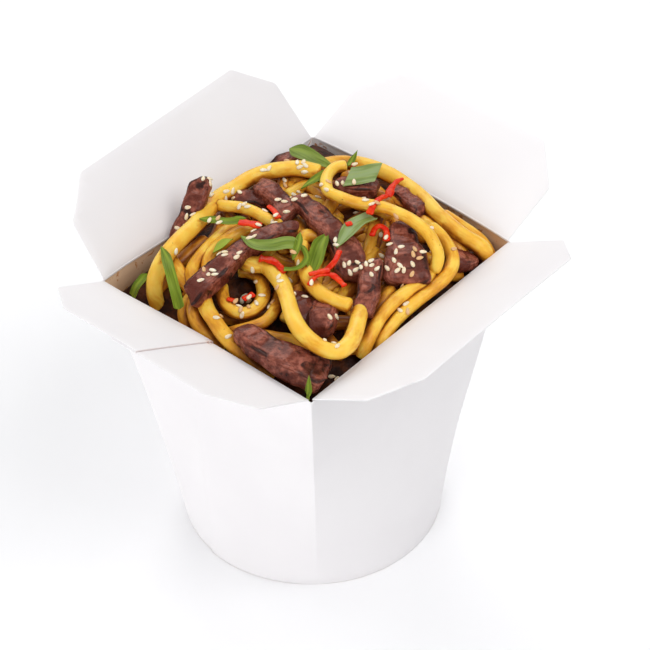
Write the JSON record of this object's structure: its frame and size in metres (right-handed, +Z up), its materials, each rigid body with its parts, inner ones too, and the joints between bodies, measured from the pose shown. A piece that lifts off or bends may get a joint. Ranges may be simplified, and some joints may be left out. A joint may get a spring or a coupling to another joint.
{
  "type": "noodle takeaway box",
  "caption": "White paperboard takeaway box with a round base and open hinged flaps, heaped with thick noodles, beef strips, spring onion, chilli and sesame.",
  "frame": {"origin": "middle of the round base, on its underside", "axes": "+Z up the box; -Y out of the wall that holds the glued lap of the board; +X to the right, seen from outside that wall"},
  "size_m": [0.1433, 0.1671, 0.1279],
  "materials": {
    "white_board": "satin",
    "noodle": null,
    "cooked_beef": null,
    "green_onion": null,
    "red_chilli": null
  },
  "bodies": {
    "filled_box": {"carton": "white_board", "base_disc": "white_board", "noodles": "noodle", "beef_01": "cooked_beef", "beef_02": "cooked_beef", "beef_03": "cooked_beef", "beef_04": "cooked_beef", "beef_05": "cooked_beef", "beef_06": "cooked_beef", "beef_07": "cooked_beef", "beef_08": "cooked_beef", "beef_09": "cooked_beef", "beef_10": "cooked_beef", "beef_11": "cooked_beef", "beef_12": "cooked_beef", "beef_13": "cooked_beef", "beef_14": "cooked_beef", "onion_01": "green_onion", "onion_02": "green_onion", "onion_03": "green_onion", "onion_04": "green_onion", "onion_05": "green_onion", "onion_06": "green_onion", "onion_07": "green_onion", "onion_08": "green_onion", "onion_09": "green_onion", "onion_10": "green_onion", "onion_11": "green_onion", "onion_12": "green_onion", "onion_13": "green_onion", "onion_14": "green_onion", "chilli_01": "red_chilli", "chilli_02": "red_chilli", "chilli_03": "red_chilli", "chilli_04": "red_chilli", "chilli_05": "red_chilli", "chilli_06": "red_chilli", "chilli_07": "red_chilli", "chilli_08": "red_chilli", "chilli_09": "red_chilli", "chilli_10": "red_chilli", "chilli_11": "red_chilli", "chilli_12": "red_chilli", "chilli_13": "red_chilli"},
    "left_flap": {"flap_left": "white_board"},
    "back_flap": {"flap_back": "white_board"},
    "front_flap": {"flap_front": "white_board"},
    "right_flap": {"flap_right": "white_board"}
  },
  "joints": [
    {"name": "left_fold", "type": "hinge", "parent": "filled_box", "child": "left_flap", "pos_m": [-0.0425, 0, 0.104], "axis": [0, -1, 0], "range_deg": [-40.4, 103.6]},
    {"name": "back_fold", "type": "hinge", "parent": "filled_box", "child": "back_flap", "pos_m": [0, 0.0495, 0.104], "axis": [-1, 0, 0], "range_deg": [-62.3, 81.7]},
    {"name": "front_fold", "type": "hinge", "parent": "filled_box", "child": "front_flap", "pos_m": [0, -0.05, 0.104], "axis": [1, 0, 0], "range_deg": [-54.9, 89.1]},
    {"name": "right_fold", "type": "hinge", "parent": "filled_box", "child": "right_flap", "pos_m": [0.0425, 0, 0.104], "axis": [0, 1, 0], "range_deg": [-53.2, 90.8]}
  ]
}
